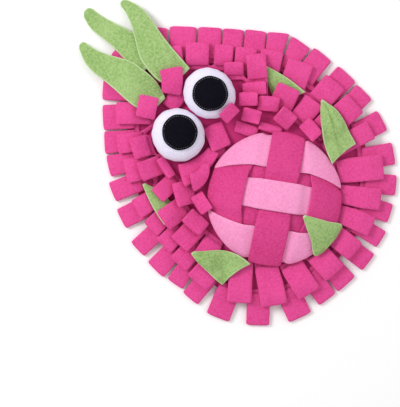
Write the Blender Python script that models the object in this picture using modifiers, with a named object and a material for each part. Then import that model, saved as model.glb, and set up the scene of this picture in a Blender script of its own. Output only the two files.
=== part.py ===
"""Fruit-shaped snuffle mat for a small pet, lying flat with its face up.

A teardrop base sheet carries rows of folded fleece tabs that lie outwards like
shingles, three crown leaves, two stuffed eyes, a woven belly dome and five
small green scales.  +Y runs to the crown, +Z is up, and the origin is on the
ground under the middle of the body.

All sizes are in millimetres and MM turns them into metres.  Every piece of
cloth is laid in the order in which a maker would sew it, on top of the height
map of what lies there already, so no piece runs through another.
"""

import math
from collections import namedtuple

import bmesh
import bpy
import numpy as np

MM = 0.001

# Cloth
BASE_THICKNESS = 3.0        # two layers of felt and fleece, sewn as one
FLEECE = 2.0                # the strips that tabs and loops are cut from
LEAF_THICKNESS = 2.4        # doubled green fleece
DISC_THICKNESS = 1.6        # black discs of the eyes
FLAT_GAP = 1.2              # air between the two layers of a pressed tab
LOOP_GAP = 3.4              # air inside a plumper loop of the face
CLEAR = 0.8                 # air between a piece and what it lies on
SIDE_CLEAR = 0.5            # half of the air between two neighbours in a row
RIM = 0.5                   # how far a laid piece reaches past its own outline
STEEPEST = 0.8              # steepest rise of a tab, as height over length
SETTLE_ROUNDS = 60          # most passes of the settling of one piece
FOOT_CLEAR = 0.4            # air under a stuffed piece, and over a seam tucked under one
LEAF_STEEPEST = 0.17        # a leaf is stiffer and sinks slowly past the rim
HEADER_WIDTH = 5.0          # sewn edge that joins the tabs of one row
BASE_INSET = 25.0           # from the tips of the outer tabs to the base's edge
ROW_CENTRE = (0.0, -25.0)   # the rows' sewn edges run around this point

# Belly dome
BELLY_CENTRE = (-3.5, -81.0)
BELLY_POWER = 0.72              # roundness of the dome: 0.5 is an ellipse, 1 a parabola
BELLY_FLOOR = 10.0              # height of the dome's rim, over the seams tucked under it
BELLY_FOOT = 59.0               # radius of the pad where it stands on the base
BELLY_PAD = (67.2, 19.4)        # radius of the stuffed pad, and its height over the rim
BELLY_WEAVE = (69.8, 21.6)      # the same, for the lower level of the strips
WEAVE_STEP = 3.8                # from the lower level of the weave to the upper
WEAVE_BEND = (0.26, 0.46)       # a strip's edge is straight up to here, and bends fully from there
WEAVE_BOW = 0.7                 # how far an outer edge bends round the dome: 0 is straight
WEAVE_MARGIN = 0.01             # how far a crossing runs past the strip's edges
WEAVE_REACH = 0.97              # where a strip dives under, as a share of the radius

# The edges of the three strips each way, as shares of the dome's radius.
Weave = namedtuple("Weave", "heading strips")
DARK_WEAVE = Weave(34.0, ((-0.76, -0.50), (-0.29, 0.21), (0.45, 0.76)))
LIGHT_WEAVE = Weave(-54.0, ((-0.76, -0.46), (-0.18, 0.26), (0.46, 0.76)))

# Eyes
EYE_MIDDLE = 19.0               # height of an eye's widest section
EYE_CROWN = 16.5                # from there to its top
EYE_FOOT = 0.36                 # radius of its foot, as a share of its own
DISC_RINGS = 2                  # rings of points inside a disc's rim, so that it follows the eye
Eye = namedtuple("Eye", "side x y radius_x radius_y disc_x disc_y disc_radius")
EYES = (
    Eye("left", -28.0, 39.0, 27.2, 29.2, -25.0, 39.5, 18.8),
    Eye("right", 26.5, 46.8, 26.3, 28.4, 26.7, 45.7, 18.7),
)

SHORTEST_TAB = 9.0              # a tab that is too long for its place is cut down to this at most
LEAST_HALF = 2.0                # least half width of a tab between its neighbours

# A tab or loop is given by the middle of its folded tip, the direction in which
# it points (degrees from +X, turning to +Y), its width and its sewn length.  Gap is
# the air between its layers, turn is how far it bends from its tip to its seam, and
# seam is the width there as a share of the width at the tip.  Over is True where it
# lies on an eye or on the dome, and False where its seam may be tucked under one.
Tab = namedtuple(
    "Tab", "x y heading width length gap turn over seam", defaults=(FLAT_GAP, 0.0, False, 1.0)
)

OUTER_ROW = [Tab(*row) for row in (
    (-49, 132, 131, 26, 34), (-72, 109, 138, 28, 34), (-90, 88.5, 138, 28, 34), (-104, 69, 148, 24, 34),
    (-121, 46, 157, 22, 34), (-134.5, 19, 162, 23, 34), (-145, -16, 178, 21, 34),
    (-147, -45, 180, 24, 34), (-143, -70.5, 190, 20, 34), (-142.5, -93, 185, 21, 34),
    (-136, -128, 203, 26, 34), (-111.5, -164, 223, 25, 34), (-73.5, -190.5, 250, 26.5, 34),
    (-39, -197.5, 262, 22.5, 34), (-13.5, -200.5, 267, 25, 34), (19.5, -200.5, 278, 22, 34),
    (46.5, -193, 283, 20, 34), (73, -180, 297, 21, 34), (98.5, -163, 310, 22, 34),
    (121, -137, 325, 24, 34), (137.5, -103.5, 343, 24, 34), (145.5, -68.5, 0, 23, 34),
    (146, -42, 2, 26, 34), (142.5, -9, 6, 24, 34), (135, 17, 10, 27, 34), (125, 41, 40, 27, 34),
    (109.5, 60, 38, 27, 34), (94, 77.5, 40, 27, 34), (78.5, 95.5, 42, 28, 34), (58, 117.5, 43, 29, 34),
    (35.5, 138.5, 43, 28, 34), (14, 149, 72, 20, 34), (-8, 151, 90, 22, 34), (-30, 146, 110, 22, 34),
)]

SECOND_ROW = [Tab(*row) for row in (
    (-58.5, 102.5, 135, 24, 38), (-81, 78, 143, 21, 28), (-95.5, 51.5, 148, 26, 28),
    (-116, 15, 165, 22, 28), (-120, -11, 180, 21, 28), (-123, -33, 180, 22, 28),
    (-125.5, -58, 182, 23, 28), (-125.5, -86, 184, 27, 34), (-108.5, -133, 222, 26, 48),
    (-84, -161.5, 235, 28, 44), (-48.5, -179.5, 258, 26, 40), (-14, -183.5, 267, 26, 36),
    (17.5, -182.5, 276, 24, 37), (48.5, -176, 291, 22, 40), (76, -162, 309, 23, 46),
    (102.5, -139, 321, 27, 50), (121.5, -102, 342, 21, 50), (130, -70, 357, 27, 40),
    (131, -39, 5, 26, 28), (120, 2, 25, 28, 28), (107, 32, 33, 24, 28), (89, 54, 38, 24, 25),
    (75, 72.5, 41, 20, 23), (56.5, 94.5, 44, 25, 25), (33, 112, 52, 24, 28), (-33, 113, 128, 22, 28),
)]

THIRD_ROW_LEFT = [Tab(*row) for row in (
    (-74, 63, 152, 23, 19), (-85.5, 40, 156, 21, 26), (-90, 9, 178, 19, 27), (-104.5, -14, 170, 24, 27),
    (-110, -44, 182, 24, 27), (-106, -72, 190, 22, 26),
)]

THIRD_ROW_RIGHT = [Tab(*row) for row in (
    (102, -63, 358, 24, 24), (101, -38, 8, 25, 27), (92, -8, 21, 26, 27), (91, 42, 50, 21, 27),
    (68.5, 52.5, 47, 21, 14),
)]

# Loops sewn on one by one around the eyes and the mouth, in sewing order.
BROW_LOOPS = [Tab(*row) for row in (
    (-4, 78, 98, 25, 30), (-36, 92, 123, 24, 28), (16.7, 95, 57, 25, 28, FLAT_GAP, 22, False, 0.85),
)]

FACE_LOOPS = [Tab(*row) for row in (
    (-7.5, 2, 40, 20, 20), (33.5, -5, 25, 26, 22, FLAT_GAP, 0, False, 0.9),
    (50.5, -23, 28, 25, 15), (-67, 25, 168, 24, 20, LOOP_GAP),
    (-76.7, -3.7, 150, 26, 22, LOOP_GAP), (-90, -40, 183, 25, 24, LOOP_GAP),
    (-57, 6.8, 151, 26, 45, LOOP_GAP, -43, False, 0.5), (-54, -6, 142, 22, 42, FLAT_GAP, -90, False, 0.4),
    (5.5, 22, 68, 22, 28), (-69, -28, 168, 22, 15, FLAT_GAP, 0, True), (69, 22.5, 50, 25, 15),
    (69.6, 0, 40, 23, 16), (84, -57, 357, 22, 16, LOOP_GAP, 0, True),
    (75, -28, 5, 20, 20, LOOP_GAP), (57, 19, 45, 20, 15), (48, 2.5, 31, 20, 15),
    (16.5, 17, 180, 13, 20, FLAT_GAP, 0, True),
)]

# Leaves and scales, as sections across the leaf from its foot to its tip.  Sag is
# how far the middle of a section lies off its straight line, towards +Y.
Section = namedtuple("Section", "left_x left_y right_x right_y sag", defaults=(0.0,))

LEAVES = {
    "centre": [Section(*row) for row in (
        (-9, 112, 10, 112), (-11, 128, 14, 128), (-11, 144, 16, 144), (-11, 158, 13, 158),
        (-12.5, 172, 8.5, 172), (-13.5, 185, 4.8, 185), (-11, 196, 3, 196), (-5.5, 203, -0.5, 203),
    )],
    "left": [Section(*row) for row in (
        (-34, 76, -10, 76), (-40, 96, -4.2, 96), (-41, 116, -5.4, 116), (-42.5, 134, -8, 130),
        (-44.5, 150, -19, 150), (-43.5, 163, -25, 163), (-39, 175, -28, 175), (-34, 181, -30, 181),
    )],
    "right": [Section(*row) for row in (
        (2, 80, 31, 80), (-2.2, 96, 32, 96), (-1.8, 112, 33, 112), (2, 127, 35, 127),
        (12, 144, 38.5, 144), (21, 160, 40, 160), (25.5, 174, 37, 174), (28, 182, 32, 182),
    )],
}

SCALES = {
    "upper_left": [Section(*row) for row in (
        (-92, 29, -90, 29), (-98, 14, -84, 10), (-103, -2, -84, -4), (-106, -18, -86, -16),
    )],
    "upper_right": [Section(*row) for row in (
        (87, 27, 89, 27), (80, 13, 94, 12), (74, 0, 98, -6), (74, -13, 100, -24),
    )],
    "lower_left": [Section(*row) for row in (
        (-107, -59, -104, -60), (-108.5, -70, -93, -70), (-108.5, -80, -82.5, -79.5),
        (-108.5, -90, -75.5, -90), (-108.5, -98, -72, -99.5), (-107.5, -106.5, -70.5, -112, 2),
    )],
    "lower_right": [Section(*row) for row in (
        (104.5, -42.5, 107, -42), (94, -53, 108.5, -52), (85, -63, 109.5, -62),
        (77, -74, 107, -74), (71, -85, 103, -86), (65.5, -98.5, 98.5, -101, 1.5),
    )],
    "bottom": [Section(*row) for row in (
        (4, -115, 6, -115), (-2, -127, 12.5, -126), (-8, -140, 20, -139),
        (-16.5, -152.5, 27.5, -150.5), (-10, -156.5, 19, -154.5, -1.5),
    )],
}
SCALE_CROWN = 2.5           # how far the middle of a scale bows up
TIP_TURNS = (30.0, 55.0, 75.0)  # a leaf's tip is half an ellipse, drawn at these angles

# Colours
PINK = (0.78, 0.08, 0.30)
DARK_PINK = (0.70, 0.06, 0.27)
LIGHT_PINK = (0.93, 0.38, 0.62)
GREEN = (0.36, 0.57, 0.20)
WHITE = (0.84, 0.82, 0.90)
BLACK = (0.012, 0.012, 0.016)


class Pile:
    """What is laid down so far, on a grid of 1 mm squares.

    height is the top of the cloth, stuffed the top of the eyes and the dome, and
    ceiling their underside, which a seam tucked under them stays below."""

    HALF_X = 170
    HALF_Y = 230

    def __init__(self):
        self.height = np.zeros((2 * self.HALF_X, 2 * self.HALF_Y))
        self.stuffed = np.zeros_like(self.height)
        self.ceiling = np.full_like(self.height, np.inf)

    def cells(self, x, y):
        column = np.clip(np.rint(x + self.HALF_X).astype(int), 0, 2 * self.HALF_X - 1)
        row = np.clip(np.rint(y + self.HALF_Y).astype(int), 0, 2 * self.HALF_Y - 1)
        return column, row

    def grid(self):
        x, y = np.meshgrid(np.arange(2 * self.HALF_X), np.arange(2 * self.HALF_Y), indexing="ij")
        return x - self.HALF_X, y - self.HALF_Y

    def lay(self, corners):
        """Raise the pile to a four-sided patch of a piece's upper face and its rim."""
        x, y, z = patch_samples(corners)
        for dx, dy in ((-RIM, -RIM), (-RIM, RIM), (RIM, -RIM), (RIM, RIM)):
            np.maximum.at(self.height, self.cells(x + dx, y + dy), z)

    def lay_surface(self, mask, z):
        self.height = np.where(mask, np.maximum(self.height, z), self.height)

    def stand(self, mask, underside, top):
        """Put a stuffed piece on the base."""
        self.stuffed = np.where(mask, np.maximum(self.stuffed, top), self.stuffed)
        self.ceiling = np.where(mask, np.minimum(self.ceiling, underside - FOOT_CLEAR), self.ceiling)

    def crowded(self, places, patches, heights, thickness):
        """True where a settled sheet would run into a stuffed piece above it."""
        for patch in patches:
            weights = patch_weights([places[index] for index in patch])
            x, y = (weights @ np.array([places[index] for index in patch])).T
            if (weights @ heights[list(patch)] + thickness > self.ceiling[self.cells(x, y)]).any():
                return True
        return False


def patch_weights(corners):
    """Shares of the four corners at points about 0.8 mm apart over a patch."""
    a, b, c, d = (np.array(corner[:2], dtype=float) for corner in corners)
    across = max(np.linalg.norm(b - a), np.linalg.norm(c - d))
    along = max(np.linalg.norm(d - a), np.linalg.norm(c - b))
    u = np.linspace(0.0, 1.0, int(across / 0.8) + 2)
    v = np.linspace(0.0, 1.0, int(along / 0.8) + 2)
    u, v = (values.ravel() for values in np.meshgrid(u, v))
    return np.stack(((1 - u) * (1 - v), u * (1 - v), u * v, (1 - u) * v), axis=1)


def patch_samples(corners):
    """Points about 0.8 mm apart over the patch between four (x, y, z) corners."""
    points = patch_weights(corners) @ np.array(corners, dtype=float)
    return points[:, 0], points[:, 1], points[:, 2]


def inside(outline, x, y):
    """True where (x, y) lies inside the closed outline."""
    result = np.zeros(np.shape(x), dtype=bool)
    for (ax, ay), (bx, by) in zip(outline, outline[1:] + outline[:1]):
        if ay != by:
            crosses = (ay > y) != (by > y)
            result ^= crosses & (x < (bx - ax) * (y - ay) / (by - ay) + ax)
    return result


def settle(pile, places, patches, steepest=STEEPEST, over=False):
    """Low heights at which a sheet made of flat patches clears the pile.

    places are (x, y) and patches are four indices each.  Wherever a patch dips
    into the pile, its corners rise by what is missing there.  A sheet that lies
    over the stuffed pieces clears them too."""
    ground = np.maximum(pile.height, pile.stuffed) if over else pile.height
    heights = np.zeros(len(places))
    work = []
    for patch in patches:
        weights = patch_weights([places[index] for index in patch])
        x, y = (weights @ np.array([places[index] for index in patch])).T
        top = ground[pile.cells(x, y)]
        work.append((list(patch), weights, np.where(top > 0.0, top + CLEAR, 0.0)))
    for _ in range(SETTLE_ROUNDS):
        worst = 0.0
        for patch, weights, need in work:
            missing = need - weights @ heights[patch]
            deepest = int(missing.argmax())
            if missing[deepest] > 0.0:
                share = weights[deepest]
                heights[patch] += share * (missing[deepest] / (share @ share))
                worst = max(worst, missing[deepest])
        for patch in patches:
            for a, b in zip(patch, patch[1:] + patch[:1]):
                run = math.dist(places[a], places[b]) * steepest
                heights[a] = max(heights[a], heights[b] - run)
                heights[b] = max(heights[b], heights[a] - run)
        if worst < 0.02:
            break
    return heights


def material(name, colour, roughness=0.9):
    """Plain cloth material."""
    result = bpy.data.materials.new(name)
    result.use_nodes = True
    shader = result.node_tree.nodes["Principled BSDF"]
    shader.inputs["Base Color"].default_value = (*colour, 1.0)
    shader.inputs["Roughness"].default_value = roughness
    shader.inputs["Metallic"].default_value = 0.0
    return result


def add_object(name, mesh, colour, collection, roughness=0.9):
    mesh.materials.append(material(name, colour, roughness))
    result = bpy.data.objects.new(name, mesh)
    collection.objects.link(result)
    return result


def sheet_object(name, points, faces, thickness, colour, collection):
    """Closed solid of one sheet, from the points and faces of its middle surface."""
    mesh = bpy.data.meshes.new(name)
    shape = bmesh.new()
    vertices = [shape.verts.new((x * MM, y * MM, z * MM)) for x, y, z in points]
    for face in faces:
        shape.faces.new([vertices[index] for index in face])
    bmesh.ops.recalc_face_normals(shape, faces=shape.faces)
    shape.to_mesh(mesh)
    shape.free()
    result = add_object(name, mesh, colour, collection)
    solid = result.modifiers.new("Thickness", "SOLIDIFY")
    solid.thickness = thickness * MM
    solid.offset = 0.0
    solid.use_quality_normals = True
    return result


def heading_vectors(heading):
    """Unit vectors along a tab and across it, the second towards the next tab."""
    angle = math.radians(heading)
    return (math.cos(angle), math.sin(angle)), (-math.sin(angle), math.cos(angle))


def distance_to_line(point, tab):
    """Distance from a point to the middle line of a tab."""
    (along_x, along_y), _ = heading_vectors(tab.heading)
    dx, dy = point[0] - tab.x, point[1] - tab.y
    run = min(0.0, max(-tab.length, dx * along_x + dy * along_y))
    return math.hypot(dx - run * along_x, dy - run * along_y)


def tab_axis(tab, s):
    """Middle of a tab at a distance from its seam, and the direction across it."""
    back = tab.length - s
    turned = tab.turn * back / tab.length
    (along_x, along_y), _ = heading_vectors(tab.heading - turned / 2)
    _, across = heading_vectors(tab.heading - turned)
    return (tab.x - back * along_x, tab.y - back * along_y), across


def tab_edges(tab, before=None, after=None):
    """Plan places of a tab's two long edges, kept clear of its neighbours."""
    edges = []
    for s in tab_stations(tab):
        middle, (across_x, across_y) = tab_axis(tab, s)
        halves = []
        for neighbour in (before, after):
            half = tab.width / 2 * (tab.seam + (1.0 - tab.seam) * s / tab.length)
            if neighbour is not None:
                half = min(half, distance_to_line(middle, neighbour) / 2 - SIDE_CLEAR)
            halves.append(max(half, LEAST_HALF))
        edges.append((
            (middle[0] - halves[0] * across_x, middle[1] - halves[0] * across_y),
            (middle[0] + halves[1] * across_x, middle[1] + halves[1] * across_y),
        ))
    return edges


def bend_start(tab):
    """Distance from the seam to where the tab starts to fold back."""
    return tab.length - tab.gap / 2 - FLEECE


def tab_stations(tab):
    """Distances from the seam at which a tab may change its slope."""
    bend = bend_start(tab)
    return [0.0, bend / 3, 2 * bend / 3, tab.length]


def tab_profile(tab):
    """Section along a folded tab: distance from the seam and height of its middle line."""
    bend = bend_start(tab)
    radius = (FLEECE + tab.gap) / 2
    lower, upper = FLEECE / 2, 1.5 * FLEECE + tab.gap
    sewn = lower + FLEECE + min(tab.gap, FLAT_GAP)
    return [
        (0.0, lower), (bend / 3, lower), (2 * bend / 3, lower), (bend, lower),
        (bend + radius, lower + radius), (bend, upper), (bend / 2, upper), (0.0, sewn),
    ]


def bridge(tab, heights):
    """Height at which the middle of the upper layer clears each bend of the lower one."""
    seam, first, second, _ = heights
    fold = float(np.interp(bend_start(tab), tab_stations(tab), heights))
    return max((first + second) / 2, (3 * first - seam) / 2, (3 * second - fold) / 2)


def fold_tab(tab, edges, heights):
    """Middle surface of one folded tab, as points in pairs along its fold."""
    stations = tab_stations(tab)
    points = []
    for s, rise in tab_profile(tab):
        for side in (0, 1):
            place = [np.interp(s, stations, [edge[side][axis] for edge in edges]) for axis in (0, 1)]
            below = heights[side::2]
            height = bridge(tab, below) if s == bend_start(tab) / 2 else np.interp(s, stations, below)
            points.append((*place, height + rise))
    return points


def lay_tab(pile, points):
    """Raise the pile to the upper layer of a folded tab."""
    top = [(x, y, z + FLEECE / 2) for x, y, z in points[-6:]]
    for first in (0, 2):
        pile.lay([top[first], top[first + 1], top[first + 3], top[first + 2]])


def upper_patches(places, patches, heights, thickness):
    """The upper face of a settled piece, patch by patch."""
    return [[(*places[index], heights[index] + thickness) for index in patch] for patch in patches]


def ladder(first, count):
    """Faces between consecutive pairs of points."""
    corners = [first + 2 * k for k in range(count - 1)]
    return [(corner, corner + 1, corner + 3, corner + 2) for corner in corners]


def row_plan(tabs, closed):
    """Flat layout of a row: its places, the patches of its header and of each tab,
    the indices of each tab's places, and the edges of each tab."""
    count = len(tabs)
    edges = []
    for k, tab in enumerate(tabs):
        before = tabs[k - 1] if closed or k > 0 else None
        after = tabs[(k + 1) % count] if closed or k < count - 1 else None
        edges.append(tab_edges(tab, before, after))
    outer = [place for tab_edge in edges for place in tab_edge[0]]
    places = []
    for x, y in outer:
        share = HEADER_WIDTH / math.dist((x, y), ROW_CENTRE)
        places += [(x + (ROW_CENTRE[0] - x) * share, y + (ROW_CENTRE[1] - y) * share), (x, y)]
    header = []
    for k in range(len(outer) if closed else len(outer) - 1):
        a, b = 2 * k, 2 * ((k + 1) % len(outer))
        header.append((a, a + 1, b + 1, b))
    indices = []
    tab_patches = []
    for k, tab_edge in enumerate(edges):
        first = len(places)
        places += [place for pair in tab_edge[1:] for place in pair]
        ids = [4 * k + 1, 4 * k + 3] + list(range(first, first + 6))
        indices.append(ids)
        tab_patches.append([tuple(ids[a + b] for b in (0, 1, 3, 2)) for a in (0, 2, 4)])
    return places, header, tab_patches, indices, edges


def make_row(name, pile, tabs, colour, collection, closed):
    """One row of tabs, cut and sewn as a comb along its inner edge.

    A tab whose seam would run into a stuffed piece is made shorter."""
    while True:
        places, header, tab_patches, indices, edges = row_plan(tabs, closed)
        patches = header + [patch for patches in tab_patches for patch in patches]
        heights = settle(pile, places, patches)
        fitted = []
        for k, tab in enumerate(tabs):
            tight = pile.crowded(places, tab_patches[k], heights, 2 * FLEECE + FLAT_GAP)
            tight = tight or pile.crowded(places, [header[2 * k]], heights, FLEECE)
            if tight and tab.length > SHORTEST_TAB:
                tab = tab._replace(length=tab.length - 1.0)
            fitted.append(tab)
        if fitted == tabs:
            break
        tabs = fitted
    points = [(*places[index], heights[index] + FLEECE / 2) for index in range(4 * len(tabs))]
    faces = list(header)
    for tab, tab_edge, ids in zip(tabs, edges, indices):
        first = len(points)
        tab_points = fold_tab(tab, tab_edge, heights[ids])
        points += tab_points[2:]
        lay_tab(pile, tab_points)
        faces.append((ids[0], ids[1], first + 1, first))
        faces += ladder(first, len(tab_points) // 2 - 1)
    for patch in upper_patches(places, patches, heights, 2 * FLEECE + FLAT_GAP):
        pile.lay(patch)
    return sheet_object(name, points, faces, FLEECE, colour, collection)


def make_loop(name, pile, loop, colour, collection):
    """One folded loop with both ends in its own seam."""
    patches = [(0, 1, 3, 2), (2, 3, 5, 4), (4, 5, 7, 6)]
    while True:
        edges = tab_edges(loop)
        places = [place for pair in edges for place in pair]
        heights = settle(pile, places, patches, over=loop.over)
        tight = not loop.over and pile.crowded(places, patches, heights, 2 * FLEECE + loop.gap)
        if not tight or loop.length <= SHORTEST_TAB:
            break
        loop = loop._replace(length=loop.length - 1.0)
    points = fold_tab(loop, edges, heights)
    for patch in upper_patches(places, patches, heights, 2 * FLEECE + loop.gap):
        pile.lay(patch)
    lay_tab(pile, points)
    return sheet_object(name, points, ladder(0, len(points) // 2), FLEECE, colour, collection)


def rounded(sections):
    """The sections with the last one drawn as a round tip."""
    result = list(sections[:-1])
    foot = np.array(result[-1][:4]).reshape(2, 2)
    middle = foot.mean(axis=0)
    reach = np.array(sections[-1][:4]).reshape(2, 2).mean(axis=0) - middle
    for turn in TIP_TURNS:
        angle = math.radians(turn)
        ends = middle + (foot - middle) * math.cos(angle) + reach * math.sin(angle)
        result.append(Section(*ends.ravel()))
    return result


def make_leaf(name, pile, sections, colour, collection, steepest, crown=0.0, over=False):
    """A leaf or scale: a flat sheet with three points across each section."""
    places = []
    for section in sections:
        x = (section.left_x + section.right_x) / 2
        y = (section.left_y + section.right_y) / 2 + section.sag
        places += [(section.left_x, section.left_y), (x, y), (section.right_x, section.right_y)]
    patches = []
    for k in range(len(sections) - 1):
        for column in (0, 1):
            a = 3 * k + column
            patches.append((a, a + 1, a + 4, a + 3))
    heights = settle(pile, places, patches, steepest=steepest, over=over)
    points = []
    for index, ((x, y), z) in enumerate(zip(places, heights)):
        bow = crown if index % 3 == 1 else 0.0
        points.append((x, y, z + bow + LEAF_THICKNESS / 2))
    for patch in upper_patches(places, patches, heights, LEAF_THICKNESS + crown):
        pile.lay(patch)
    return sheet_object(name, points, patches, LEAF_THICKNESS, colour, collection)


def base_outline():
    """Outline of the base sheet, a smooth run inside the outer tabs' tips."""
    outline = []
    for tab in OUTER_ROW:
        (along_x, along_y), _ = heading_vectors(tab.heading)
        outline.append((tab.x - BASE_INSET * along_x, tab.y - BASE_INSET * along_y))
    smooth = []
    for k, (x, y) in enumerate(outline):
        before, after = outline[k - 1], outline[(k + 1) % len(outline)]
        smooth.append(((before[0] + 2 * x + after[0]) / 4, (before[1] + 2 * y + after[1]) / 4))
    return smooth


def make_base(pile, collection):
    outline = base_outline()
    curve = bpy.data.curves.new("base_mat", "CURVE")
    curve.dimensions = "2D"
    curve.fill_mode = "BOTH"
    curve.extrude = BASE_THICKNESS / 2 * MM
    spline = curve.splines.new("POLY")
    spline.points.add(len(outline) - 1)
    for point, (x, y) in zip(spline.points, outline):
        point.co = (x * MM, y * MM, 0.0, 1.0)
    spline.use_cyclic_u = True
    curve.materials.append(material("base_mat", DARK_PINK))
    base = bpy.data.objects.new("base_mat", curve)
    base.location.z = BASE_THICKNESS / 2 * MM
    collection.objects.link(base)
    x, y = pile.grid()
    pile.lay_surface(inside(outline, x, y), BASE_THICKNESS)
    return base


def turned_object(name, profile, colour, collection, steps=20):
    """A turned solid from a profile of (radius, height), run from top to bottom."""
    mesh = bpy.data.meshes.new(name)
    shape = bmesh.new()
    vertices = [shape.verts.new((radius * MM, 0.0, height * MM)) for radius, height in profile]
    for first, second in zip(vertices, vertices[1:]):
        shape.edges.new((first, second))
    shape.to_mesh(mesh)
    shape.free()
    result = add_object(name, mesh, colour, collection)
    screw = result.modifiers.new("Turn", "SCREW")
    screw.axis = "Z"
    screw.steps = steps
    screw.render_steps = steps
    screw.use_merge_vertices = True
    screw.merge_threshold = 0.00001
    return result


def dome_height(radius, height, distance, power=0.5):
    """Height of a dome at a distance from its axis, an ellipse for a power of 0.5."""
    return height * np.clip(1.0 - (distance / radius) ** 2, 0.0, 1.0) ** power


def make_belly_pad(pile, collection):
    """The stuffed pad, on a foot that is narrower than its rim."""
    radius, height = BELLY_PAD
    floor = BASE_THICKNESS + FOOT_CLEAR
    knee = (BELLY_FOOT + 4.0, floor + 3.0)
    profile = []
    for k in range(8):
        distance = radius * math.sin(math.radians(90.0 * k / 8))
        profile.append((distance, BELLY_FLOOR + float(dome_height(radius, height, distance, BELLY_POWER))))
    profile += [(radius, BELLY_FLOOR), knee, (BELLY_FOOT, floor), (0.0, floor)]
    pad = turned_object("belly_pad", profile, PINK, collection, steps=28)
    pad.location = (BELLY_CENTRE[0] * MM, BELLY_CENTRE[1] * MM, 0.0)
    x, y = pile.grid()
    distance = np.hypot(x - BELLY_CENTRE[0], y - BELLY_CENTRE[1])
    weave_radius, weave_height = (size + WEAVE_STEP + FLEECE / 2 + FOOT_CLEAR for size in BELLY_WEAVE)
    cover = BELLY_FLOOR + dome_height(weave_radius, weave_height, distance, BELLY_POWER)
    underside = np.interp(distance, (BELLY_FOOT, knee[0], radius), (floor, knee[1], BELLY_FLOOR))
    pile.stand(distance < WEAVE_REACH * weave_radius, underside, cover)
    return pad


def weave_bow(offset):
    """How far cloth at an offset from the dome's middle line bends round the dome."""
    straight, full = WEAVE_BEND
    return WEAVE_BOW * min(1.0, max(0.0, (abs(offset) - straight) / (full - straight)))


def weave_place(position, offset):
    """Where a strip's line at an offset meets the crossing line at a position.

    Both are shares of the radius; a position of -1 or 1 is the strip's end."""
    own, other = weave_bow(offset), weave_bow(position)
    if abs(position) == 1.0:
        u = position * math.sqrt((WEAVE_REACH ** 2 - offset ** 2) / (1.0 - own * offset ** 2))
    else:
        u = position * math.sqrt((1.0 - other * offset ** 2) / (1.0 - own * other * (position * offset) ** 2))
    return u, offset * math.sqrt(1.0 - own * u * u)


def crossed_strips(own):
    """Edges of the strips that a strip crosses, as places along it.

    The light strips run against the direction in which the dark ones are counted."""
    if own is DARK_WEAVE:
        return LIGHT_WEAVE.strips
    return tuple((-high, -low) for low, high in reversed(DARK_WEAVE.strips))


def weave_stations(crossed, number, dark):
    """Places along a strip and its level there: 0 under the strip that it crosses, 1 over.

    Four places lie on each crossed strip, and one halfway between two of them."""
    stations = []
    for k, (low, high) in enumerate(crossed):
        level = 1.0 if ((number + k) % 2 == 1) == dark else 0.0
        if k > 0:
            stations.append(((crossed[k - 1][1] + low) / 2, 0.5))
        third = (high - low) / 3
        for place in (low - WEAVE_MARGIN, low + third, high - third, high + WEAVE_MARGIN):
            stations.append((place, level))
    return [(-1.0, 0.5)] + stations + [(1.0, 0.5)]


def make_strip(name, number, own, colour, collection):
    """One strip of the woven belly, bent over the dome like a band around a ball."""
    along, across = heading_vectors(own.heading)
    radius, height = BELLY_WEAVE
    stations = weave_stations(crossed_strips(own), number, own is DARK_WEAVE)
    offsets = np.linspace(*own.strips[number], 4)
    columns = len(offsets)
    points = []
    for position, level in stations:
        for offset in offsets:
            u, v = weave_place(position, offset)
            rise = level * WEAVE_STEP
            x = BELLY_CENTRE[0] + (radius + rise) * (u * along[0] + v * across[0])
            y = BELLY_CENTRE[1] + (radius + rise) * (u * along[1] + v * across[1])
            z = BELLY_FLOOR + float(dome_height(1.0, height + rise, math.hypot(u, v), BELLY_POWER))
            points.append((x, y, z))
    faces = []
    for i in range(len(stations) - 1):
        for j in range(columns - 1):
            a = i * columns + j
            corners = [a, a + 1, a + columns + 1, a + columns]
            while points[corners[0]][2] < max(points[index][2] for index in corners):
                corners.append(corners.pop(0))
            faces += [tuple(corners[:3]), (corners[0], corners[2], corners[3])]
    return sheet_object(name, points, faces, FLEECE, colour, collection)


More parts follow.
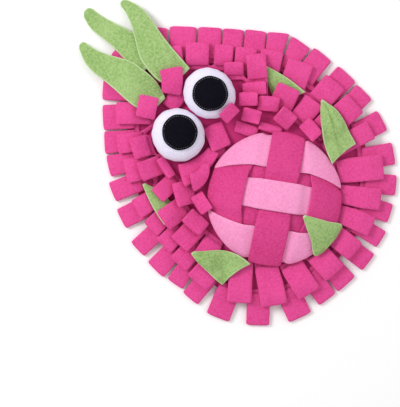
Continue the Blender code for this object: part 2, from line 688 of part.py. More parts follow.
def make_eye(eye, pile, collection):
    """A stuffed white eye, a flat ball on a small foot, and its black disc."""
    floor = BASE_THICKNESS + FOOT_CLEAR
    profile = []
    for k in range(12):
        angle = math.radians(90.0 * k / 7)
        swell = EYE_CROWN if k < 7 else EYE_MIDDLE - floor
        profile.append((eye.radius_x * math.sin(angle), EYE_MIDDLE + swell * math.cos(angle)))
    profile += [(eye.radius_x * EYE_FOOT, floor), (0.0, floor)]
    white = turned_object("eye_white_" + eye.side, profile, WHITE, collection)
    white.location = (eye.x * MM, eye.y * MM, 0.0)
    white.scale.y = eye.radius_y / eye.radius_x
    x, y = pile.grid()
    distance = np.hypot(x - eye.x, (y - eye.y) * eye.radius_x / eye.radius_y)
    top = EYE_MIDDLE + dome_height(eye.radius_x, EYE_CROWN, distance)
    underside = EYE_MIDDLE - dome_height(eye.radius_x, EYE_MIDDLE - floor, distance)
    pile.stand(distance < eye.radius_x, underside, top)

    mesh = bpy.data.meshes.new("eye_black_" + eye.side)
    shape = bmesh.new()
    bmesh.ops.create_circle(shape, cap_ends=True, segments=18, radius=eye.disc_radius * MM)
    middle = list(shape.faces)
    for _ in range(DISC_RINGS):
        inset = eye.disc_radius / (DISC_RINGS + 1) * MM
        bmesh.ops.inset_region(shape, faces=middle, thickness=inset, use_boundary=True)
    for vertex in shape.verts:
        x = vertex.co.x / MM + eye.disc_x
        y = vertex.co.y / MM + eye.disc_y
        distance = math.hypot(x - eye.x, (y - eye.y) * eye.radius_x / eye.radius_y)
        skin = EYE_MIDDLE + float(dome_height(eye.radius_x, EYE_CROWN, distance))
        vertex.co = (x * MM, y * MM, (skin + DISC_THICKNESS / 2 + CLEAR) * MM)
    shape.to_mesh(mesh)
    shape.free()
    black = add_object("eye_black_" + eye.side, mesh, BLACK, collection, roughness=0.55)
    solid = black.modifiers.new("Thickness", "SOLIDIFY")
    solid.thickness = DISC_THICKNESS * MM
    solid.offset = 0.0
    solid.use_quality_normals = True


def main():
    for old in list(bpy.data.objects):
        bpy.data.objects.remove(old, do_unlink=True)
    parts = bpy.data.collections.new("snuffle_mat")
    bpy.context.scene.collection.children.link(parts)

    pile = Pile()
    make_base(pile, parts)
    make_belly_pad(pile, parts)
    for number in range(3):
        make_strip(f"belly_dark_{number + 1}", number, DARK_WEAVE, DARK_PINK, parts)
        make_strip(f"belly_light_{number + 1}", number, LIGHT_WEAVE, LIGHT_PINK, parts)
    for eye in EYES:
        make_eye(eye, pile, parts)
    make_row("tab_row_1", pile, OUTER_ROW, PINK, parts, closed=True)
    make_row("tab_row_2", pile, SECOND_ROW, PINK, parts, closed=True)
    make_loop("brow_loop_1", pile, BROW_LOOPS[0], PINK, parts)
    for side in ("centre", "left", "right"):
        make_leaf("crown_leaf_" + side, pile, rounded(LEAVES[side]), GREEN, parts, LEAF_STEEPEST)
    for place in ("upper_left", "upper_right"):
        make_leaf("scale_" + place, pile, SCALES[place], GREEN, parts, STEEPEST, SCALE_CROWN)
    make_row("tab_row_3_left", pile, THIRD_ROW_LEFT, PINK, parts, closed=False)
    make_row("tab_row_3_right", pile, THIRD_ROW_RIGHT, PINK, parts, closed=False)
    for number, loop in enumerate(BROW_LOOPS[1:], start=2):
        make_loop(f"brow_loop_{number}", pile, loop, PINK, parts)
    for number, loop in enumerate(FACE_LOOPS, start=1):
        make_loop(f"face_loop_{number:02d}", pile, loop, PINK, parts)
    for place in ("lower_left", "lower_right", "bottom"):
        make_leaf("scale_" + place, pile, SCALES[place], GREEN, parts, STEEPEST, SCALE_CROWN, over=True)


main()
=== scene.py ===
"""Looks of the fruit-shaped snuffle mat: folded fleece tabs, crown leaves, eyes and a woven belly.

The mat lies flat with its crown to +Y and its face up.  Sizes are in
millimetres and MM turns them into metres.  Each piece of cloth is laid in the
order in which it is sewn, on the height map of what lies there already.
"""

import math
from collections import namedtuple

import bmesh
import bpy
import numpy as np
from mathutils import Matrix, Vector, noise


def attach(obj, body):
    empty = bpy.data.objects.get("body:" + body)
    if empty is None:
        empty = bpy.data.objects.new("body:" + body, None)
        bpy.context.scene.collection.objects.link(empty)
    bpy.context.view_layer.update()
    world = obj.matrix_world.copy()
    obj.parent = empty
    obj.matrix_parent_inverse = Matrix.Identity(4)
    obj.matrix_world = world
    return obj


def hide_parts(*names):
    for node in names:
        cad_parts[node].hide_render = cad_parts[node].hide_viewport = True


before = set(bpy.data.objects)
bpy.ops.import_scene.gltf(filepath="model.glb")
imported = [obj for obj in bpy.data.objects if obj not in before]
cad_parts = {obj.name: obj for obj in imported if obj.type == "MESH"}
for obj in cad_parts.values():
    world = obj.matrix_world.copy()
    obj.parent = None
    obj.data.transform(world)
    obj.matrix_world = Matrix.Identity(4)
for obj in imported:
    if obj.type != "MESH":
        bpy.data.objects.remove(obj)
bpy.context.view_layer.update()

MM = 0.001

# Cloth
BASE_THICKNESS = 3.0
FLEECE = 2.0
LEAF_THICKNESS = 2.4
DISC_THICKNESS = 1.6
FLAT_GAP = 1.2              # air between the two layers of a pressed tab
LOOP_GAP = 3.4              # air inside a plumper loop of the face
CLEAR = 0.8                 # air between a piece and what it lies on
SIDE_CLEAR = 0.5            # half of the air between two neighbours in a row
FOOT_CLEAR = 0.4            # air under a stuffed piece, and over a seam tucked under one
HEADER_WIDTH = 5.0          # sewn edge that joins the tabs of one row
BASE_INSET = 25.0           # from the tips of the outer tabs to the base's edge
ROW_CENTRE = (0.0, -25.0)   # the rows' sewn edges run around this point

# Draping
STEEPEST = 0.6              # steepest rise of a tab, as height over length
LEAF_STEEPEST = 0.17        # a leaf is stiffer and sinks slowly past the rim
SLOPE_ROUNDS = 24           # passes that spread each rise to the places beside it
SMOOTH_ROUNDS = 10          # passes that even out the cloth between them
TAB_COLUMNS = 7             # places across a tab
TAB_STATIONS = 8            # places along one layer of a tab
FOLD_STEPS = 4              # places round the fold, between the two layers
PUFF = 1.3                  # how far the upper layer of a tab bulges
PUFF_EDGE = 0.7             # share of the bulge that is gone at the tab's long edges
SEAM_GAP = 0.4              # share of a tab's gap that is left at its seam
CORNER = 2.0                # how far the corners of a folded tip draw back
WAVER = 0.35                # unevenness of cloth, up and down
WAVER_SIZE = 11.0           # and the size of its swells

# Belly dome
BELLY_CENTRE = (-3.5, -81.0)
BELLY_POWER = 0.72          # roundness of the dome: 0.5 is an ellipse, 1 a parabola
BELLY_FLOOR = 10.0          # height of the dome's rim, over the seams tucked under it
BELLY_FOOT = 59.0           # radius of the pad where it stands on the base
BELLY_PAD = (67.2, 19.4)    # radius of the stuffed pad, and its height over the rim
BELLY_WEAVE = (69.8, 21.6)  # the same, for the lower level of the strips
WEAVE_STEP = 3.8            # from the lower level of the weave to the upper
WEAVE_BEND = (0.26, 0.46)   # a strip's edge is straight up to here, and bends fully from there
WEAVE_BOW = 0.7             # how far an outer edge bends round the dome: 0 is straight
WEAVE_MARGIN = 0.01         # how far a crossing runs past the strip's edges
WEAVE_REACH = 0.97          # where a strip dives under, as a share of the radius
STRIP_COLUMNS = 11          # places across a strip
STRIP_ROWS = 57             # places along a strip
DARK_END = 0.95             # where an outer dark strip ends, under the light one, as a share of its run
LIGHT_END = 0.995           # the same for an outer light strip

# The edges of the three strips each way, as shares of the dome's radius.  An
# outer strip runs on to the rim.
Weave = namedtuple("Weave", "heading strips")
DARK_WEAVE = Weave(34.0, ((-1.0, -0.50), (-0.29, 0.21), (0.45, 1.0)))
LIGHT_WEAVE = Weave(-54.0, ((-1.0, -0.46), (-0.18, 0.26), (0.46, 1.0)))

# Eyes
EYE_MIDDLE = 19.0           # height of an eye's widest section
EYE_CROWN = 16.5            # from there to its top
Eye = namedtuple("Eye", "side x y radius_x radius_y disc_x disc_y disc_radius")
EYES = (
    Eye("left", -28.0, 39.0, 27.2, 29.2, -25.0, 39.5, 18.8),
    Eye("right", 26.5, 46.8, 26.3, 28.4, 26.7, 45.7, 18.7),
)
GATHERS = 0.008             # depth of the small folds around an eye, as a share of its radius
STITCH_INSET = 1.7          # from a disc's rim to its ring of stitches
STITCH_DIP = 0.35           # how far the stitches draw a disc down
STITCHES = 44
THREAD_RADIUS = 0.28
DISC_RINGS = 8              # rings of places inside a disc's rim, so that it follows the eye
DISC_RING = 0.11            # width of each, as a share of the disc's radius

SHORTEST_TAB = 9.0          # a tab that is too long for its place is cut down to this at most
LEAST_HALF = 2.0            # least half width of a tab between its neighbours

# A tab or loop is given by the middle of its folded tip, the direction in which
# it points (degrees from +X, turning to +Y), its width and its sewn length.  Gap is
# the air between its layers, turn is how far it bends from its tip to its seam, and
# seam is the width there as a share of the width at the tip.  Over is True where it
# lies on an eye or on the dome, and False where its seam may be tucked under one.
Tab = namedtuple(
    "Tab", "x y heading width length gap turn over seam", defaults=(FLAT_GAP, 0.0, False, 1.0)
)

OUTER_ROW = [Tab(*row) for row in (
    (-49, 132, 131, 26, 34), (-72, 109, 138, 28, 34), (-90, 88.5, 138, 28, 34), (-104, 69, 148, 24, 34),
    (-121, 46, 157, 22, 34), (-134.5, 19, 162, 23, 34), (-145, -16, 178, 21, 34),
    (-147, -45, 180, 24, 34), (-143, -70.5, 190, 20, 34), (-142.5, -93, 185, 21, 34),
    (-136, -128, 203, 26, 34), (-111.5, -164, 223, 25, 34), (-73.5, -190.5, 250, 26.5, 34),
    (-39, -197.5, 262, 22.5, 34), (-13.5, -200.5, 267, 25, 34), (19.5, -200.5, 278, 22, 34),
    (46.5, -193, 283, 20, 34), (73, -180, 297, 21, 34), (98.5, -163, 310, 22, 34),
    (121, -137, 325, 24, 34), (137.5, -103.5, 343, 24, 34), (145.5, -68.5, 0, 23, 34),
    (146, -42, 2, 26, 34), (142.5, -9, 6, 24, 34), (135, 17, 10, 27, 34), (125, 41, 40, 27, 34),
    (109.5, 60, 38, 27, 34), (94, 77.5, 40, 27, 34), (78.5, 95.5, 42, 28, 34), (58, 117.5, 43, 29, 34),
    (35.5, 138.5, 43, 28, 34), (14, 149, 72, 20, 34), (-8, 151, 90, 22, 34), (-30, 146, 110, 22, 34),
)]

SECOND_ROW = [Tab(*row) for row in (
    (-58.5, 102.5, 135, 24, 38), (-81, 78, 143, 21, 28), (-95.5, 51.5, 148, 26, 28),
    (-116, 15, 165, 22, 28), (-120, -11, 180, 21, 28), (-123, -33, 180, 22, 28),
    (-125.5, -58, 182, 23, 28), (-125.5, -86, 184, 27, 34), (-108.5, -133, 222, 26, 48),
    (-84, -161.5, 235, 28, 44), (-48.5, -179.5, 258, 26, 40), (-14, -183.5, 267, 26, 36),
    (17.5, -182.5, 276, 24, 37), (48.5, -176, 291, 22, 40), (76, -162, 309, 23, 46),
    (102.5, -139, 321, 27, 50), (121.5, -102, 342, 21, 50), (130, -70, 357, 27, 40),
    (131, -39, 5, 26, 28), (120, 2, 25, 28, 28), (107, 32, 33, 24, 28), (89, 54, 38, 24, 25),
    (75, 72.5, 41, 20, 23), (56.5, 94.5, 44, 25, 25), (33, 112, 52, 24, 28), (-33, 113, 128, 22, 28),
)]

THIRD_ROW_LEFT = [Tab(*row) for row in (
    (-74, 63, 152, 23, 19), (-85.5, 40, 156, 21, 26), (-90, 9, 178, 19, 27), (-104.5, -14, 170, 24, 27),
    (-110, -44, 182, 24, 27), (-106, -72, 190, 22, 26),
)]

THIRD_ROW_RIGHT = [Tab(*row) for row in (
    (102, -63, 358, 24, 24), (101, -38, 8, 25, 27), (92, -8, 21, 26, 27), (91, 42, 50, 21, 27),
    (68.5, 52.5, 47, 21, 14),
)]

# Loops sewn on one by one around the eyes and the mouth, in sewing order.
BROW_LOOPS = [Tab(*row) for row in (
    (-4, 78, 98, 25, 30), (-36, 92, 123, 24, 28), (16.7, 95, 57, 25, 28, FLAT_GAP, 22, False, 0.85),
)]

FACE_LOOPS = [Tab(*row) for row in (
    (-7.5, 2, 40, 20, 20), (33.5, -5, 25, 26, 22, FLAT_GAP, 0, False, 0.9),
    (50.5, -23, 28, 25, 15), (-67, 25, 168, 24, 20, LOOP_GAP),
    (-76.7, -3.7, 150, 26, 22, LOOP_GAP), (-90, -40, 183, 25, 24, LOOP_GAP),
    (-57, 6.8, 151, 26, 45, LOOP_GAP, -43, False, 0.5), (-54, -6, 142, 22, 42, FLAT_GAP, -90, False, 0.4),
    (5.5, 22, 68, 22, 28), (-69, -28, 168, 22, 15, FLAT_GAP, 0, True), (69, 22.5, 50, 25, 15),
    (69.6, 0, 40, 23, 16), (84, -57, 357, 22, 16, LOOP_GAP, 0, True),
    (75, -28, 5, 20, 20, LOOP_GAP), (57, 19, 45, 20, 15), (48, 2.5, 31, 20, 15),
    (16.5, 17, 180, 13, 20, FLAT_GAP, 0, True),
)]

# Leaves and scales, as sections across the leaf from its foot to its tip.  Sag is
# how far the middle of a section lies off its straight line, towards +Y.
Section = namedtuple("Section", "left_x left_y right_x right_y sag", defaults=(0.0,))

LEAVES = {
    "centre": [Section(*row) for row in (
        (-9, 112, 10, 112), (-11, 128, 14, 128), (-11, 144, 16, 144), (-11, 158, 13, 158),
        (-12.5, 172, 8.5, 172), (-13.5, 185, 4.8, 185), (-11, 196, 3, 196), (-5.5, 203, -0.5, 203),
    )],
    "left": [Section(*row) for row in (
        (-34, 76, -10, 76), (-40, 96, -4.2, 96), (-41, 116, -5.4, 116), (-42.5, 134, -8, 130),
        (-44.5, 150, -19, 150), (-43.5, 163, -25, 163), (-39, 175, -28, 175), (-34, 181, -30, 181),
    )],
    "right": [Section(*row) for row in (
        (2, 80, 31, 80), (-2.2, 96, 32, 96), (-1.8, 112, 33, 112), (2, 127, 35, 127),
        (12, 144, 38.5, 144), (21, 160, 40, 160), (25.5, 174, 37, 174), (28, 182, 32, 182),
    )],
}

SCALES = {
    "upper_left": [Section(*row) for row in (
        (-92, 29, -90, 29), (-98, 14, -84, 10), (-103, -2, -84, -4), (-106, -18, -86, -16),
    )],
    "upper_right": [Section(*row) for row in (
        (87, 27, 89, 27), (80, 13, 94, 12), (74, 0, 98, -6), (74, -13, 100, -24),
    )],
    "lower_left": [Section(*row) for row in (
        (-107, -59, -104, -60), (-108.5, -70, -93, -70), (-108.5, -80, -82.5, -79.5),
        (-108.5, -90, -75.5, -90), (-108.5, -98, -72, -99.5), (-107.5, -106.5, -70.5, -112, 2),
    )],
    "lower_right": [Section(*row) for row in (
        (104.5, -42.5, 107, -42), (94, -53, 108.5, -52), (85, -63, 109.5, -62),
        (77, -74, 107, -74), (71, -85, 103, -86), (65.5, -98.5, 98.5, -101, 1.5),
    )],
    "bottom": [Section(*row) for row in (
        (4, -115, 6, -115), (-2, -127, 12.5, -126), (-8, -140, 20, -139),
        (-16.5, -152.5, 27.5, -150.5), (-10, -156.5, 19, -154.5, -1.5),
    )],
}
SCALE_CROWN = 2.5               # how far the middle of a scale bows up
LEAF_CROWN = 1.6                # and that of a crown leaf
TIP_TURNS = (30.0, 55.0, 75.0)  # a leaf's tip is half an ellipse, drawn at these angles
EDGE_WIDTH = 0.8                # pale cut edge of the green cloth, seen from above
LEAF_STEPS = 4                  # rows from one section of a crown leaf to the next
SCALE_STEPS = 5                 # and of a scale
LEAF_COLUMNS = 9                # places across a leaf or scale
CREASED_COLUMNS = 21            # and across a scale with a crease

# A crease in a scale runs from a share of its width at the foot to one at the tip.
# Depth is how far it dips, step how much higher the cloth is on its right, and size
# how wide it is.
Crease = namedtuple("Crease", "foot tip depth step size")
CREASES = {
    "lower_left": Crease(0.75, 0.3, 3.2, 1.0, 4.5),
    "lower_right": Crease(0.75, 0.45, 3.0, 2.6, 1.9),
}

# Photo
CAMERA_HEIGHT = 3000.0
PHOTO_CENTRE = (-63.0, -28.7)   # the place on the ground under the middle of the photo
PHOTO_WIDTH = 426.7             # how much of the ground it shows from side to side
LIT_PLACE = (0.0, -0.03, 0.0)   # what both lights point at, in metres

# Colours, as linear light
PINK = (0.79, 0.083, 0.315)
PINK_DEEP = (0.68, 0.054, 0.245)
PINK_RIM = (0.84, 0.13, 0.38)
BELLY_PINK = (0.72, 0.068, 0.275)
BELLY_PINK_DEEP = (0.60, 0.040, 0.195)
LIGHT_PINK = (0.94, 0.35, 0.625)
LIGHT_PINK_DEEP = (0.87, 0.26, 0.51)
LIGHT_PINK_RIM = (0.95, 0.46, 0.70)
GREEN = (0.41, 0.59, 0.23)
GREEN_DEEP = (0.25, 0.42, 0.125)
GREEN_RIM = (0.56, 0.68, 0.38)
WHITE = (0.87, 0.84, 0.99)
WHITE_DEEP = (0.79, 0.76, 0.95)
BLACK = (0.006, 0.005, 0.010)
BLACK_DEEP = (0.003, 0.003, 0.005)
THREAD = (0.20, 0.20, 0.22)
FELT = (0.62, 0.04, 0.21)


# ---- materials ----

def add_node(tree, kind, settings=(), **inputs):
    """A shader node with its settings and the values of its inputs."""
    result = tree.nodes.new(kind)
    for key, value in dict(settings).items():
        setattr(result, key, value)
    for key, value in inputs.items():
        result.inputs[key.replace("_", " ")].default_value = value
    return result


def fleece_material(name, colour, deep, sheen=0.35, pile=1.0, tuft=2.2, gloss=0.15):
    """Short matt pile: fine bumps, mottled colour and a soft sheen.

    tuft is the size of the tufts in millimetres, and pile how far they stand out."""
    material = bpy.data.materials.new(name)
    material.use_nodes = True
    tree = material.node_tree
    link = tree.links.new
    shader = tree.nodes["Principled BSDF"]
    for key, value in (
        ("Roughness", 0.95), ("Specular IOR Level", gloss), ("Sheen Weight", sheen),
        ("Sheen Roughness", 0.45), ("Sheen Tint", (*colour, 1.0)),
    ):
        shader.inputs[key].default_value = value
    place = add_node(tree, "ShaderNodeTexCoord")
    fibres = add_node(tree, "ShaderNodeTexNoise", Scale=1300.0, Detail=3.0, Roughness=0.7)
    tufts = add_node(tree, "ShaderNodeTexNoise", Scale=1.0 / (tuft * MM), Detail=3.0, Roughness=0.6)
    swells = add_node(tree, "ShaderNodeTexNoise", Scale=28.0, Detail=2.0)
    for texture in (fibres, tufts, swells):
        link(place.outputs["Object"], texture.inputs["Vector"])
    mottle = add_node(tree, "ShaderNodeMath", {"operation": "MULTIPLY_ADD"})
    link(swells.outputs["Fac"], mottle.inputs[0])
    mottle.inputs[1].default_value = 0.35
    link(tufts.outputs["Fac"], mottle.inputs[2])
    ramp = add_node(tree, "ShaderNodeMapRange", From_Min=0.48, From_Max=0.77)
    link(mottle.outputs[0], ramp.inputs["Value"])
    blend = add_node(tree, "ShaderNodeMix", {"data_type": "RGBA"})
    link(ramp.outputs["Result"], blend.inputs["Factor"])
    blend.inputs[6].default_value = (*deep, 1.0)
    blend.inputs[7].default_value = (*colour, 1.0)
    link(blend.outputs[2], shader.inputs["Base Color"])
    height = add_node(tree, "ShaderNodeMath", {"operation": "MULTIPLY_ADD"})
    link(tufts.outputs["Fac"], height.inputs[0])
    height.inputs[1].default_value = 1.6
    link(fibres.outputs["Fac"], height.inputs[2])
    bump = add_node(tree, "ShaderNodeBump", Strength=0.55, Distance=0.7 * pile * MM)
    link(height.outputs[0], bump.inputs["Height"])
    link(bump.outputs["Normal"], shader.inputs["Normal"])
    return material


def knit_material(name, colour, deep):
    """Fine white knit: rows of small stitches over a stuffed form."""
    material = fleece_material(name, colour, deep, sheen=0.2, pile=0.5)
    tree = material.node_tree
    link = tree.links.new
    place = add_node(tree, "ShaderNodeTexCoord")
    rows = []
    for direction, scale in (("X", 300.0), ("Y", 230.0)):
        wave = add_node(
            tree, "ShaderNodeTexWave", {"wave_type": "BANDS", "bands_direction": direction},
            Scale=scale, Distortion=1.2, Detail=2.0, Detail_Scale=1.5,
        )
        link(place.outputs["Object"], wave.inputs["Vector"])
        rows.append(wave)
    stitches = add_node(tree, "ShaderNodeMath", {"operation": "ADD"})
    link(rows[0].outputs["Fac"], stitches.inputs[0])
    link(rows[1].outputs["Fac"], stitches.inputs[1])
    bump = tree.nodes["Bump"]
    knit = add_node(tree, "ShaderNodeBump", Strength=0.5, Distance=0.0004)
    link(stitches.outputs[0], knit.inputs["Height"])
    link(bump.outputs["Normal"], knit.inputs["Normal"])
    link(knit.outputs["Normal"], tree.nodes["Principled BSDF"].inputs["Normal"])
    return material


def floor_material():
    """Plain pale floor with a faint unevenness."""
    material = bpy.data.materials.new("floor")
    material.use_nodes = True
    tree = material.node_tree
    shader = tree.nodes["Principled BSDF"]
    shader.inputs["Roughness"].default_value = 0.9
    place = add_node(tree, "ShaderNodeTexCoord")
    cloud = add_node(tree, "ShaderNodeTexNoise", Scale=3.0, Detail=2.0)
    tree.links.new(place.outputs["Object"], cloud.inputs["Vector"])
    blend = add_node(tree, "ShaderNodeMix", {"data_type": "RGBA"})
    tree.links.new(cloud.outputs["Fac"], blend.inputs["Factor"])
    blend.inputs[6].default_value = (0.95, 0.95, 0.95, 1.0)
    blend.inputs[7].default_value = (0.97, 0.97, 0.97, 1.0)
    tree.links.new(blend.outputs[2], shader.inputs["Base Color"])
    return material


MATERIALS = {
    "pink": fleece_material("pink_fleece", PINK, PINK_DEEP),
    "pink_rim": fleece_material("pink_cut_edge", PINK_RIM, PINK),
    "belly": fleece_material("belly_fleece", BELLY_PINK, BELLY_PINK_DEEP),
    "belly_rim": fleece_material("belly_cut_edge", PINK, BELLY_PINK),
    "light": fleece_material("light_pink_fleece", LIGHT_PINK, LIGHT_PINK_DEEP),
    "light_rim": fleece_material("light_pink_cut_edge", LIGHT_PINK_RIM, LIGHT_PINK),
    "green": fleece_material("green_fleece", GREEN, GREEN_DEEP, pile=3.0, tuft=2.3),
    "green_rim": fleece_material("green_cut_edge", GREEN_RIM, GREEN),
    "felt": fleece_material("base_felt", FELT, FELT, sheen=0.1),
    "white": knit_material("white_knit", WHITE, WHITE_DEEP),
    "black": fleece_material("black_plush", BLACK, BLACK_DEEP, sheen=0.0, gloss=0.05),
    "thread": fleece_material("grey_thread", THREAD, BLACK, sheen=0.1),
}


# ---- the pile of cloth ----

class Pile:
    """What is laid down so far, on a grid of 1 mm squares.

    height is the top of the cloth, stuffed the top of the eyes and the dome, and
    ceiling their underside, which a seam tucked under them stays below."""

    HALF_X = 170
    HALF_Y = 230

    def __init__(self):
        self.height = np.zeros((2 * self.HALF_X, 2 * self.HALF_Y))
        self.stuffed = np.zeros_like(self.height)
        self.ceiling = np.full_like(self.height, np.inf)

    def cells(self, x, y):
        column = np.clip(np.rint(x + self.HALF_X).astype(int), 0, 2 * self.HALF_X - 1)
        row = np.clip(np.rint(y + self.HALF_Y).astype(int), 0, 2 * self.HALF_Y - 1)
        return column, row

    def grid(self):
        x, y = np.meshgrid(np.arange(2 * self.HALF_X), np.arange(2 * self.HALF_Y), indexing="ij")
        return x - self.HALF_X, y - self.HALF_Y

    def need(self, x, y, over):
        """Lowest height at which a piece clears the pile near each place."""
        spread = np.maximum(self.height, self.stuffed) if over else self.height
        for axis in (0, 1):
            spread = np.maximum(spread, np.maximum(np.roll(spread, 1, axis), np.roll(spread, -1, axis)))
        top = spread[self.cells(x, y)]
        return np.where(top > 0.0, top + CLEAR, 0.0)

    def lay(self, places):
        """Raise the pile to a sheet, an array of rows and columns of (x, y, z)."""
        fine = refine(places)
        np.maximum.at(self.height, self.cells(fine[..., 0], fine[..., 1]), fine[..., 2])

    def crowded(self, places):
        """True where a sheet would run into a stuffed piece above it."""
        fine = refine(places)
        return bool((fine[..., 2] > self.ceiling[self.cells(fine[..., 0], fine[..., 1])]).any())

    def stand(self, mask, underside, top):
        """Put a stuffed piece on the base."""
        self.stuffed = np.where(mask, np.maximum(self.stuffed, top), self.stuffed)
        self.ceiling = np.where(mask, np.minimum(self.ceiling, underside - FOOT_CLEAR), self.ceiling)

    def lay_surface(self, mask, z):
        self.height = np.where(mask, np.maximum(self.height, z), self.height)


def halve(places):
    """The same sheet with a row added halfway between every two rows."""
    result = np.empty((2 * len(places) - 1, *places.shape[1:]))
    result[::2] = places
    result[1::2] = (places[:-1] + places[1:]) / 2
    return result


def refine(places):
    """The same sheet with eight times as many rows and columns."""
    for _ in range(3):
        places = halve(places)
        places = halve(places.swapaxes(0, 1)).swapaxes(0, 1)
    return places


def drape(pile, x, y, joined, steepest=STEEPEST, over=False):
    """Heights at which cloth over the places (x, y) rests on the pile.

    joined tells for each place whether it is joined to the next column's, and
    over whether the cloth lies on the stuffed pieces too."""
    need = pile.need(x, y, over)
    heights = need.copy()
    last = np.zeros_like(joined)
    last[:, -1] = True
    links = []
    for axis, open_here in ((0, ~joined), (1, last)):
        run = np.hypot(np.roll(x, -1, axis) - x, np.roll(y, -1, axis) - y) * steepest
        links.append((axis, np.where(open_here, np.inf, run)))
    for _ in range(SLOPE_ROUNDS):
        for axis, run in links:
            heights = np.maximum(heights, np.roll(heights, -1, axis) - run)
            heights = np.maximum(heights, np.roll(heights - run, 1, axis))
    for _ in range(SMOOTH_ROUNDS):
        total = np.zeros_like(heights)
        for axis, run in links:
            linked = np.isfinite(run)
            total += np.where(linked, np.roll(heights, -1, axis), heights)
            total += np.where(np.roll(linked, 1, axis), np.roll(heights, 1, axis), heights)
        heights = np.maximum(need, (heights + total / 4) / 2)
    return heights


def waver(x, y, seed, size=WAVER_SIZE):
    """Smooth unevenness between about -1 and 1, different for each seed."""
    flat = zip(np.ravel(x), np.ravel(y))
    values = [noise.noise(Vector((a / size, b / size, 7.3 * seed))) for a, b in flat]
    return np.array(values).reshape(np.shape(x))


# ---- meshes ----

def add_sheet(shape, places):
    """Add a sheet to a bmesh, from an array of rows and columns of (x, y, z)."""
    rows, columns = places.shape[:2]
    grid = bmesh.ops.create_grid(shape, x_segments=rows - 1, y_segments=columns - 1, size=1.0)
    for vertex in grid["verts"]:
        i = round((vertex.co.x + 1.0) / 2.0 * (rows - 1))
        j = round((vertex.co.y + 1.0) / 2.0 * (columns - 1))
        vertex.co = Vector(places[i, j]) * MM


def link_object(name, data):
    result = bpy.data.objects.new(name, data)
    bpy.context.scene.collection.objects.link(result)
    return result


def add_object(name, shape, *materials):
    mesh = bpy.data.meshes.new(name)
    bmesh.ops.recalc_face_normals(shape, faces=shape.faces)
    for face in shape.faces:
        face.smooth = True
    shape.to_mesh(mesh)
    shape.free()
    for key in materials:
        mesh.materials.append(MATERIALS[key])
    return link_object(name, mesh)


def thicken(piece, thickness):
    """Give a sheet its thickness, half of it on each side."""
    solid = piece.modifiers.new("Thickness", "SOLIDIFY")
    solid.thickness = thickness * MM
    solid.offset = 0.0
    return solid


def round_edges(piece, width):
    edge = piece.modifiers.new("Edge", "BEVEL")
    edge.width = width * MM
    edge.segments = 2
    edge.limit_method = "ANGLE"
    edge.angle_limit = math.radians(60)


def finish_piece(piece, node):
    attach(piece, "root")
    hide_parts(node)


def cloth_piece(node, shape, thickness, cloth):
    """A sheet's finished piece: thick cloth with rounded cut edges."""
    bmesh.ops.remove_doubles(shape, verts=shape.verts, dist=0.01 * MM)
    piece = add_object(node + "_cloth", shape, cloth, cloth + "_rim")
    solid = thicken(piece, thickness)
    solid.use_quality_normals = True
    solid.material_offset_rim = 1
    smooth = piece.modifiers.new("Softness", "SUBSURF")
    smooth.levels = 1
    smooth.render_levels = 1
    finish_piece(piece, node)
    return piece


# ---- tabs ----

def heading_vectors(heading):
    """Unit vectors along a tab and across it, the second towards the next tab."""
    angle = math.radians(heading)
    return (math.cos(angle), math.sin(angle)), (-math.sin(angle), math.cos(angle))


def distance_to_line(point, tab):
    """Distance from a point to the middle line of a tab."""
    (along_x, along_y), _ = heading_vectors(tab.heading)
    dx, dy = point[0] - tab.x, point[1] - tab.y
    run = min(0.0, max(-tab.length, dx * along_x + dy * along_y))
    return math.hypot(dx - run * along_x, dy - run * along_y)


def tab_axis(tab, s):
    """Middle of a tab at a distance from its seam, and the direction across it."""
    back = tab.length - s
    turned = tab.turn * back / tab.length
    (along_x, along_y), _ = heading_vectors(tab.heading - turned / 2)
    _, across = heading_vectors(tab.heading - turned)
    return (tab.x - back * along_x, tab.y - back * along_y), across


def bend_start(tab):
    """Distance from the seam to where the tab starts to fold back."""
    return tab.length - tab.gap / 2 - FLEECE


def tab_stations(tab):
    """Distances from the seam to the fold, and last to the folded tip."""
    return np.append(np.linspace(0.0, bend_start(tab), TAB_STATIONS), tab.length)


def tab_plan(tab, before=None, after=None):
    """Places of a flat tab, an array of columns across it and stations along it."""
    plan = np.zeros((TAB_COLUMNS, TAB_STATIONS + 1, 2))
    for j, s in enumerate(tab_stations(tab)):
        middle, (across_x, across_y) = tab_axis(tab, s)
        halves = []
        for neighbour in (before, after):
            half = tab.width / 2 * (tab.seam + (1.0 - tab.seam) * s / tab.length)
            if neighbour is not None:
                half = min(half, distance_to_line(middle, neighbour) / 2 - SIDE_CLEAR)
            halves.append(max(half, LEAST_HALF))
        for i, across in enumerate(np.linspace(-halves[0], halves[1], TAB_COLUMNS)):
            plan[i, j] = (middle[0] + across * across_x, middle[1] + across * across_y)
    return plan


